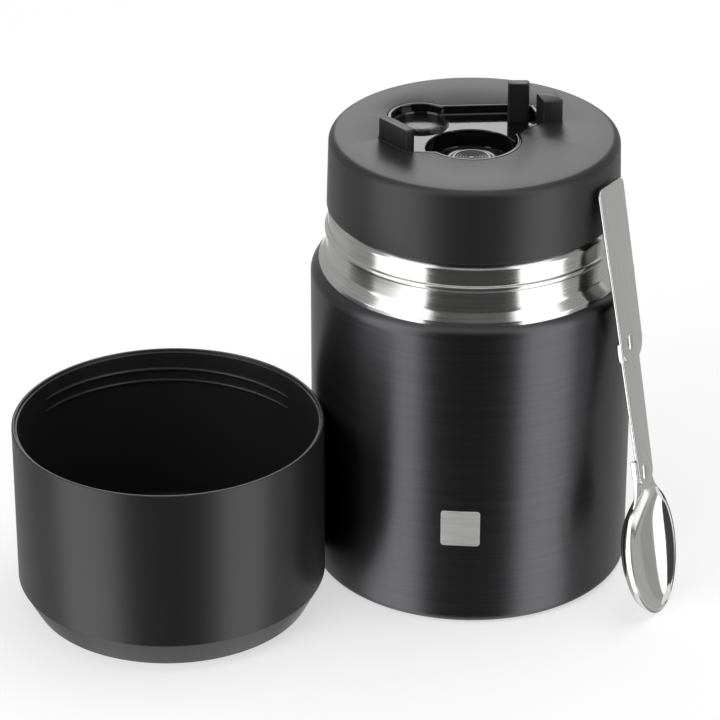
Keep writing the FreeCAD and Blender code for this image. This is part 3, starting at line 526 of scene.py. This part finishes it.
floor_edge = farther(foot_inside, well_inside)
well_lip = nearer(floor_edge, reach_to(
    lambda point: (point - well_centre).length - well_radius - 0.0003, 0))
floor_shares = [step / 24 for step in range(1, 24)]
tray_loops = [
    level(tray_flange, flange_low), level(tray_flange, flange_high),
    level(tray_outside, flange_high), level(tray_outside, lid_top - tray_edge),
    level(reach_to(plan_distance, tray_wall - tray_edge), lid_top),
    level(reach_to(plan_distance, tray_edge), lid_top),
    level(reach_to(plan_distance, tray_edge * 0.3), lid_top - tray_edge * 0.3),
    level(tray_inside, lid_top - tray_edge), level(tray_inside, floor_height + 0.0004),
    dished(floor_edge)]
for share in floor_shares:
    tray_loops.append(dished([a.lerp(b, share) for a, b in zip(floor_edge, well_lip)]))
tray_loops += [
    dished(well_lip), level(well_inside, floor_height - 0.0003),
    level(well_inside, well_floor + 0.0008), well_ring(well_radius - 0.0003, well_floor + 0.0002),
    well_ring(well_radius - 0.001, well_floor), well_ring(collar_radius + 0.0004, well_floor),
    well_ring(collar_radius, well_floor + 0.0004), well_ring(collar_radius, collar_top - 0.0003),
    well_ring(collar_radius - 0.0003, collar_top), well_ring(collar_bore + 0.0003, collar_top),
    well_ring(collar_bore, collar_top - 0.0003), well_ring(collar_bore, well_floor),
    well_ring(stem_hole, well_floor), well_ring(stem_hole, well_floor - tray_floor),
    well_ring(well_radius + tray_wall, well_floor - tray_floor),
    well_ring(well_radius + tray_wall, floor_height - tray_floor),
    level(tray_outside, floor_height - tray_floor), level(tray_outside, flange_low)]
gloss_black, tree, shader = principled("gloss_moulded_abs", IOR=1.54)
vary(tree, shader, patterned(tree, (700, 700, 700)), ("#0c0c0d", "#111112"), (0.06, 0.12), 0.03)
finished("spoon_tray_moulding", loft(tray_loops), gloss_black, "lid", "tray_gloss", "spoon_tray")

# Clips and post: upright lugs of the tray that grip the folded spoon, moulded with it, their
# corners rounded.
clip_top = lid_top + 0.007
post_top = lid_top + 0.010
lug_foot = floor_height - 0.0002
left_clip = ((-0.0304, -0.0042), (-0.0213, -0.0154), (-0.0190, -0.0134), (-0.0280, -0.0022))
right_clip = ((0.0222, 0.0079), (0.0284, 0.0094), (0.0260, 0.0164), (0.0198, 0.0149))
post = ((0.0110, 0.0150), (0.0178, 0.0150), (0.0178, 0.0186), (0.0110, 0.0186))


def lug(plan, top, corner=0.0007, edge=0.0005):
    """An upright block on a plan of four corners, rounded at its corners and its upper edge."""
    middle = sum((Vector(point) for point in plan), Vector((0, 0))) / 4
    outline = rounded([point + (corner,) for point in plan])
    loops = [[point + (height,) for point in outline] for height in (lug_foot, top - edge)]
    for share in (0.3, 0.6, 1.0):
        inset = edge * (1 - math.sqrt(1 - share * share))
        shrunk = [Vector(point) + (middle - Vector(point)).normalized() * inset
                  for point in outline]
        loops.append(level(shrunk, top - edge + edge * share))
    return loft(loops, closed=False)


for name, plan, top in (("left_clip", left_clip, clip_top), ("right_clip", right_clip, clip_top),
                        ("spoon_post", post, post_top)):
    finished(name, lug(plan, top), satin_black, "lid", "tray_gloss")

# Stopper: the dark moulded plug under the tray with a foam disc in it, and the soft seal
# ring that closes the mouth.
plug_plastic, tree, shader = principled("moulded_stopper_polypropylene", IOR=1.49)
vary(tree, shader, patterned(tree, (800, 800, 800)), ("#202022", "#29292b"), (0.35, 0.45), 0.12)
beads, tree, shader = principled("expanded_foam", IOR=1.3)
vary(tree, shader, patterned(tree, (420, 420, 420), 1.0), ("#d9d6cc", "#efece4"), (0.8, 0.95), 0.8)
dressed("stopper", plug_plastic)
dressed("lid_insulation", beads)
for name in ("lid_gasket", "vent_seal", "vent_spring"):
    dressed(name, silicone)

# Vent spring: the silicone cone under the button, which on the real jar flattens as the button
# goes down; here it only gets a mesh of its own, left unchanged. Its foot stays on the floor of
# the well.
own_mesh(nodes["vent_spring"])

# Vent button: a gloss black cap on a stem, pressed to let steam out. Fine rings are moulded
# in its top for grip.
button_low, button_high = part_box("vent_button")
button_radius = 0.0065
button_skirt = 0.0016
button_wall = 0.0008
stem_radius = 0.0018
ring_count = 5
ring_pitch = 0.0009
ring_relief = 0.00025
ring_inset = 0.0012
button_edge = 0.0005
button_pole = 0.0002
button_rings = []
for step in range(ring_count * 8 + 1):
    inwards = button_radius - ring_inset - step / 8 * ring_pitch
    dip = ring_relief * (1 - math.cos(math.tau * step / 8)) / 2
    button_rings.append((inwards, button_high.z - dip))
button_outline = (
    [(button_pole, button_low.z), (stem_radius, button_low.z)]
    + [(stem_radius, button_high.z - button_wall), (button_radius - button_wall,
                                                    button_high.z - button_wall),
       (button_radius - button_wall, button_high.z - button_skirt),
       (button_radius, button_high.z - button_skirt)]
    + arc(button_radius - button_edge, button_high.z - button_edge, button_edge, 0, 90, steps=5)
    + button_rings + [(button_pole, button_high.z)])
finished("vent_cap", lathed(button_outline, tuple(well_centre), 128, closed=False), gloss_black,
         "vent", "tray_gloss", "vent_button")

# Cup: a satin black moulding that screws over the neck and covers the lid, here set down on
# the table. Its foot slopes in, its rim has a step inside, and short ribs in pairs grip the bead.
cup_low, cup_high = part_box("cup")
cup_axis = ((cup_low.x + cup_high.x) / 2, (cup_low.y + cup_high.y) / 2)
cup_radius = 0.0498
cup_wall = 0.0018
cup_foot = 0.0447
cup_slope = 0.0096
cup_top = cup_high.z
rim_step = 0.0008
cup_outline = rounded([
    (pole_radius, 0.0), (cup_foot, 0.0, 0.0008), (cup_radius, cup_slope, 0.0012),
    (cup_radius, cup_top, 0.0004), (cup_radius - 0.0010, cup_top, 0.0003),
    (cup_radius - 0.0011, cup_top - rim_step, 0.0002),
    (cup_radius - cup_wall, cup_top - rim_step, 0.0003),
    (cup_radius - cup_wall, cup_slope + cup_wall / 4, 0.003),
    (cup_foot - cup_wall, cup_wall, 0.003), (pole_radius, cup_wall)])
cup_plastic, tree, shader = principled("satin_moulded_cup_polypropylene", IOR=1.5)
vary(tree, shader, patterned(tree, (2200, 2200, 2200), 4.0), ("#1f1f21", "#252527"),
     (0.33, 0.39), 0.1)
finished("cup_moulding", lathed(cup_outline, cup_axis, closed=False), cup_plastic, "cup",
         "cup_plastic", "cup")
rib_lead = 0.0059
rib_gap = 0.0041
rib_drop = 0.0068
rib_from = math.radians(37.4)
rib_sweep = math.radians(113)
rib_thickness = 0.0013
rib_inset = 0.0003
rib_rise = rib_lead * rib_sweep / math.tau
for number in range(2):
    foot = cup_top - rib_drop - rib_rise / 2 - rib_gap * number
    finished("cup_rib_" + "ab"[number],
             grown(ridges, Radius=cup_radius - cup_wall - rib_inset, Lead=rib_lead, Rise=rib_rise,
                   Turn=rib_from, Count=2, Thickness=rib_thickness, Foot=cup_axis + (foot,),
                   Material=cup_plastic),
             cup_plastic, "cup", "cup_plastic")

# Spoon: pressed from 1 mm polished stainless strip in three pieces that fold at two rivets.
# It is built flat, with X out of the bowl, Y to its right and Z up the handle, and the
# rivets' places and axes in the frame say where it leans.
joints = {joint["name"]: joint for joint in frame["joints"]}
upper_rivet = Vector(joints["handle_fold"]["pos_m"])
lower_rivet = Vector(joints["bowl_fold"]["pos_m"])
outwards = Vector(joints["bowl_fold"]["axis"]).normalized()
upwards = (upper_rivet - lower_rivet).normalized()
sideways = upwards.cross(outwards)
upper_at = 0.0931
lower_at = 0.0489
spoon_foot = lower_rivet - upwards * lower_at
spoon_place = Matrix.Translation(spoon_foot) @ Matrix(
    (outwards, sideways, upwards)).transposed().to_4x4()
strip = 0.001
strip_gap = 0.0001
spoon_end = 0.1453
polished, tree, shader = principled("mirror_polished_stainless", Metallic=1.0)
vary(tree, shader, patterned(tree, (30, 900, 30)), ("#d4d4d2", "#dadad8"), (0.1, 0.13), 0.02)


def strip_loop(width, middle, height, edge=0.0003):
    """The rounded cross-section of a strip at one height."""
    half = max(width / 2, edge * 1.2)
    back, front = middle - strip / 2, middle + strip / 2
    return [(across, aside, height) for across, aside in rounded([
        (back, -half, edge), (front, -half, edge), (front, half, edge), (back, half, edge)], 3)]


def strip_piece(rows):
    """A strip through rows of width, middle and height, leaning where the spoon leans."""
    mesh = loft([strip_loop(*row) for row in rows], closed=False)
    mesh.transform(spoon_place)
    return mesh


def round_end(width, middle, height, way, steps=12):
    """Rows that close a strip in a half circle, downwards or upwards."""
    rows = []
    for step in range(steps + 1):
        turn = math.pi / 2 * step / steps
        rows.append((width * math.cos(turn), middle, height + way * width / 2 * math.sin(turn)))
    return rows


handle_root = 0.014
handle_width = 0.016
handle_corner = 0.0025
handle_middle = strip + strip_gap
handle_rows = list(reversed(round_end(handle_root, handle_middle, upper_at, -1)))
for step in range(1, 9):
    turn = math.pi / 2 * step / 8
    inset = handle_corner * (1 - math.cos(turn))
    handle_rows.append((handle_width - 2 * inset, handle_middle,
                        spoon_end - handle_corner * (1 - math.sin(turn))))
handle_rows.insert(13, (handle_width, handle_middle, spoon_end - handle_corner))
finished("spoon_handle_strip", strip_piece(handle_rows), polished, "spoon_handle",
         "polished_steel", "spoon_handle")

link_upper = 0.0114
link_lower = 0.0094
link_rows = list(reversed(round_end(link_lower, 0, lower_at, -1)))
link_rows += round_end(link_upper, 0, upper_at, 1)
finished("spoon_link_strip", strip_piece(link_rows), polished, "spoon_link", "polished_steel",
         "spoon_link")

# Bowl: an egg-shaped hollow pressed in the end of its strip, whose flat neck runs up to the
# lower rivet.
bowl_width = 0.0306
bowl_length = 0.043
bowl_hollow = 0.007
bowl_front = -strip / 2 - strip_gap
neck_half = 0.0052
bowl_middle = bowl_length / 2
neck_blend = 0.004


def egg_share(aside, height):
    """0 at the bowl's middle and 1 on its rim."""
    return math.hypot(aside / (bowl_width / 2), (height - bowl_middle) / (bowl_length / 2))


def bowl_distance(aside, height):
    """Distance to the bowl's outline with its neck, filleted where they meet."""
    egg = (egg_share(aside, height) - 1) * bowl_width / 2
    nearest = min(max(height, bowl_middle), lower_at)
    neck = math.hypot(aside, height - nearest) - neck_half
    mix = max(neck_blend - abs(egg - neck), 0) / neck_blend
    return min(egg, neck) - mix * mix * neck_blend / 4


def bowl_reach(turn):
    """The outline's distance from the bowl's middle in one direction."""
    reach = lower_at + neck_half - bowl_middle + 0.002
    for attempt in range(200):
        gap = bowl_distance(reach * math.sin(turn), bowl_middle + reach * math.cos(turn))
        reach -= gap * 0.5
        if gap < 1e-6:
            break
    return reach


# The loops' points crowd towards the neck, where the outline bends most.
bowl_turns = []
for step in range(240):
    turn = math.tau * step / 240 - math.pi
    bowl_turns.append(turn - 0.72 * math.sin(turn) * math.exp(-turn * turn / 2))
bowl_outline = [(bowl_reach(turn), turn) for turn in bowl_turns]


def bowl_loop(share, depth):
    """A loop of the bowl's skin at a share of its outline, sunk where the hollow is."""
    loop = []
    for reach, turn in bowl_outline:
        aside = share * reach * math.sin(turn)
        height = bowl_middle + share * reach * math.cos(turn)
        inside = max(1 - egg_share(aside, height) ** 2, 0)
        soft = 0.5 + 0.5 * math.exp(-(turn / 0.5) ** 2)
        loop.append((bowl_front - depth - bowl_hollow * inside ** soft, aside, height))
    return loop


bowl_rings = 28
ring_shares = [math.sin(math.pi / 2 * step / bowl_rings) for step in range(1, bowl_rings + 1)]
core_share = 0.004
rim_share = 0.997
bowl_loops = [bowl_loop(core_share, 0)]
bowl_loops += [bowl_loop(share, 0) for share in ring_shares[:-1]]
bowl_loops += [bowl_loop(rim_share, 0), bowl_loop(1, strip * 0.15), bowl_loop(1, strip * 0.85),
               bowl_loop(rim_share, strip)]
bowl_loops += [bowl_loop(share, strip) for share in reversed(ring_shares[:-1])]
bowl_loops.append(bowl_loop(core_share, strip))
bowl_mesh = loft(bowl_loops, closed=False)
bowl_mesh.transform(spoon_place)
finished("spoon_bowl_pressing", bowl_mesh, polished, "spoon_bowl", "polished_steel", "spoon_bowl")

# Stop tabs: short lugs turned down at the strips' left edges, which stop the spoon when it is
# straight.
tab_wall = 0.0011
tab_length = 0.005
tab_gap = 0.0003
tab_edge = 0.0003


def tab(edge_width, back, front, low, high):
    """A lug beside a strip's left edge, with rounded edges."""
    inner = -(edge_width / 2 + tab_gap)
    outline = rounded([(back, inner - tab_wall, tab_edge), (front, inner - tab_wall, tab_edge),
                       (front, inner, tab_edge), (back, inner, tab_edge)], 3)
    loops = []
    for share, inset in ((0, tab_edge), (0.06, 0), (0.94, 0), (1, tab_edge)):
        height = low + (high - low) * share
        middle_across = (back + front) / 2
        middle_aside = inner - tab_wall / 2
        shrink = 1 - inset / (tab_wall / 2) * 0.5
        loops.append([(middle_across + (across - middle_across) * shrink,
                       middle_aside + (aside - middle_aside) * shrink, height)
                      for across, aside in outline])
    mesh = loft(loops, closed=False)
    mesh.transform(spoon_place)
    return mesh


finished("handle_stop", tab(link_upper, -strip / 2, handle_middle + strip / 2,
                            upper_at - tab_length, upper_at + tab_wall),
         polished, "spoon_handle", "polished_steel")
finished("bowl_stop", tab(link_lower, bowl_front - strip, strip / 2,
                          lower_at - tab_wall, lower_at + tab_length),
         polished, "spoon_bowl", "polished_steel")

# Rivets: stainless pins through two strips, their domed heads set on both sides. One tree
# makes a pin with two heads.
pins = bpy.data.node_groups.new("domed_rivets", "GeometryNodeTree")
for name, kind in (("Head Radius", "Float"), ("Head Height", "Float"), ("Pin Radius", "Float"),
                   ("Grip", "Float"), ("Material", "Material")):
    pins.interface.new_socket(name=name, in_out="INPUT", socket_type="NodeSocket" + kind)
pins.interface.new_socket(name="Geometry", in_out="OUTPUT", socket_type="NodeSocketGeometry")
given = add(pins, "NodeGroupInput").outputs
ball = add(pins, "GeometryNodeMeshUVSphere", {"Segments": 40, "Rings": 24, "Radius": 1.0})
flat = add(pins, "ShaderNodeCombineXYZ", {"X": given["Head Radius"], "Y": given["Head Radius"],
                                         "Z": given["Head Height"]})
half_grip = add(pins, "ShaderNodeMath", {0: given["Grip"], 1: 0.5}, operation="MULTIPLY")
ends = add(pins, "GeometryNodePoints", {"Count": 2})
number = add(pins, "GeometryNodeInputIndex").outputs[0]
sign = add(pins, "ShaderNodeMath", {0: number, 1: 2.0, 2: -1.0}, operation="MULTIPLY_ADD")
lift = add(pins, "ShaderNodeMath", {0: sign.outputs[0], 1: half_grip.outputs[0]},
           operation="MULTIPLY")
place = add(pins, "ShaderNodeCombineXYZ", {"Z": lift.outputs[0]})
placed = add(pins, "GeometryNodeSetPosition",
             {"Geometry": ends.outputs[0], "Position": place.outputs["Vector"]})
heads = add(pins, "GeometryNodeInstanceOnPoints",
            {"Points": placed.outputs["Geometry"], "Instance": ball.outputs["Mesh"],
             "Scale": flat.outputs["Vector"]})
pin = add(pins, "GeometryNodeMeshCylinder",
          {"Vertices": 32, "Radius": given["Pin Radius"], "Depth": given["Grip"]})
joined = add(pins, "GeometryNodeJoinGeometry")
pins.links.new(heads.outputs["Instances"], joined.inputs["Geometry"])
pins.links.new(pin.outputs["Mesh"], joined.inputs["Geometry"])
solid = add(pins, "GeometryNodeRealizeInstances", {"Geometry": joined.outputs["Geometry"]})
coloured = add(pins, "GeometryNodeSetMaterial",
               {"Geometry": solid.outputs["Geometry"], "Material": given["Material"]})
add(pins, "NodeGroupOutput", {"Geometry": coloured.outputs["Geometry"]})

rivet_play = 0.00005
rivet_grip = 2 * strip + strip_gap + rivet_play
rivet_head_radius = 0.003
rivet_head_height = 0.0009
rivet_pin_radius = 0.0016
for name, middle, height in (("handle_rivet", rivet_grip / 2 - strip / 2, upper_at),
                             ("bowl_rivet", strip / 2 - rivet_grip / 2, lower_at)):
    mesh = grown(pins, **{"Head Radius": rivet_head_radius, "Head Height": rivet_head_height,
                          "Pin Radius": rivet_pin_radius, "Grip": rivet_grip,
                          "Material": polished})
    across = Matrix.Translation((middle, 0, height)) @ Matrix.Rotation(math.pi / 2, 4, "Y")
    mesh.transform(spoon_place @ across)
    finished(name + "_pin", mesh, polished, "spoon_link", "polished_steel", name)

# Studio: a pale floor, white all round, two tall soft boxes in front of the jar to its left and
# right, a dark screen between them, and grey screens beside and behind that draw the upright
# bands in the steel. A low box behind gleams in the tray. The screens and boxes are only there
# for what gleams; two plain soft lamps and the sky light the rest.
floor = bpy.data.objects.new("floor", bpy.data.meshes.new("floor"))
floor_half = 12.0
floor.data.from_pydata([(-floor_half, -floor_half, 0), (floor_half, -floor_half, 0),
                        (floor_half, floor_half, 0), (-floor_half, floor_half, 0)], [],
                       [(0, 1, 2, 3)])
scene.collection.objects.link(floor)
floor_paint = bpy.data.materials.new("matt_white_floor")
floor_paint.use_nodes = True
tree = floor_paint.node_tree
tree.nodes.clear()
rays = add(tree, "ShaderNodeLightPath").outputs
matt = add(tree, "ShaderNodeBsdfDiffuse", {"Color": (0.55, 0.55, 0.55, 1)})
glow = add(tree, "ShaderNodeEmission", {"Color": (1, 1, 1, 1), "Strength": 0.56})
none = add(tree, "ShaderNodeEmission", {"Strength": 0.0})
seen = add(tree, "ShaderNodeMixShader", {0: rays["Is Camera Ray"], 1: none.outputs[0],
                                         2: glow.outputs[0]})
both = add(tree, "ShaderNodeAddShader", {0: matt.outputs[0], 1: seen.outputs[0]})
add(tree, "ShaderNodeOutputMaterial", {"Surface": both.outputs[0]})
floor.data.materials.append(floor_paint)
floor.visible_glossy = False

sky = bpy.data.worlds.new("white_studio")
scene.world = sky
sky.use_nodes = True
tree = sky.node_tree
tree.nodes.clear()
rays = add(tree, "ShaderNodeLightPath").outputs
seen = add(tree, "ShaderNodeMath", {0: rays["Is Camera Ray"], 1: rays["Is Glossy Ray"]},
           operation="MAXIMUM")
seen = add(tree, "ShaderNodeMath", {0: seen.outputs[0], 1: rays["Is Transmission Ray"]},
           operation="MAXIMUM")
strength = add(tree, "ShaderNodeMapRange",
               {"Value": seen.outputs[0], "To Min": 0.5, "To Max": 1.0})
background = add(tree, "ShaderNodeBackground", {"Color": (1, 1, 1, 1),
                                                "Strength": strength.outputs["Result"]})
add(tree, "ShaderNodeOutputWorld", {"Surface": background.outputs[0]})

screen_distance = 1.6
camera_side = -90.0


def screen(name, start, end, low, high, strength):
    """An upright curved screen between two bearings from the camera's side, in degrees."""
    steps = 12
    points = []
    for step in range(steps + 1):
        turn = math.radians(camera_side + start + (end - start) * step / steps)
        for height in (low, high):
            points.append((screen_distance * math.cos(turn), screen_distance * math.sin(turn),
                           height))
    mesh = bpy.data.meshes.new(name)
    mesh.from_pydata(points, [],
                     [(2 * i, 2 * i + 2, 2 * i + 3, 2 * i + 1) for i in range(steps)])
    paint = bpy.data.materials.new(name)
    paint.use_nodes = True
    tree = paint.node_tree
    tree.nodes.clear()
    glow = add(tree, "ShaderNodeEmission", {"Color": (1, 1, 1, 1), "Strength": strength})
    add(tree, "ShaderNodeOutputMaterial", {"Surface": glow.outputs[0]})
    paint.cycles.emission_sampling = "NONE"
    mesh.materials.append(paint)
    panel = bpy.data.objects.new(name, mesh)
    scene.collection.objects.link(panel)
    panel.visible_camera = False
    panel.visible_diffuse = False
    panel.visible_shadow = False


screen("dark_screen", -37, 34, -2.6, 2.6, 0.07)
screen("left_box", -82, -37, -2.6, 2.6, 2.2)
screen("right_box", 34, 72, -2.6, 2.6, 2.2)
screen("left_grey_screen", -112, -82, -2.6, 2.6, 0.4)
screen("right_grey_screen", 72, 100, -2.6, 2.6, 0.4)
screen("back_box", 166, 197, 0.62, 1.2, 3.2)
screen("back_left_screen", 197, 248, -2.6, 2.6, 0.5)
screen("back_right_screen", 100, 166, -2.6, 2.6, 0.5)


def lamp(name, place, aim, width, height, power):
    """A soft lamp turned to a point, which isn't seen in what gleams."""
    light = bpy.data.lights.new(name, "AREA")
    light.shape = "RECTANGLE"
    light.size = width
    light.size_y = height
    light.energy = power
    holder = bpy.data.objects.new(name, light)
    holder.location = place
    holder.rotation_euler = (Vector(aim) - Vector(place)).to_track_quat("-Z", "Y").to_euler()
    holder.visible_glossy = False
    scene.collection.objects.link(holder)


lamp("left_lamp", (-1.1, -1.0, 1.1), (0, 0, 0.08), 0.9, 0.9, 7)
lamp("top_lamp", (0.4, 0.3, 1.8), (0, 0, 0.05), 1.2, 1.2, 9)

# Camera: it looks level with the jar's Y axis, a little from above, with a long lens.
eye = bpy.data.cameras.new("camera")
eye.lens = 180
eye.sensor_width = 36
camera = bpy.data.objects.new("camera", eye)
camera.location = (-0.03613, -1.040, 0.610)
camera.rotation_euler = (math.radians(90 - 27.5), 0, 0)
scene.collection.objects.link(camera)
scene.camera = camera
scene.view_settings.view_transform = "Standard"
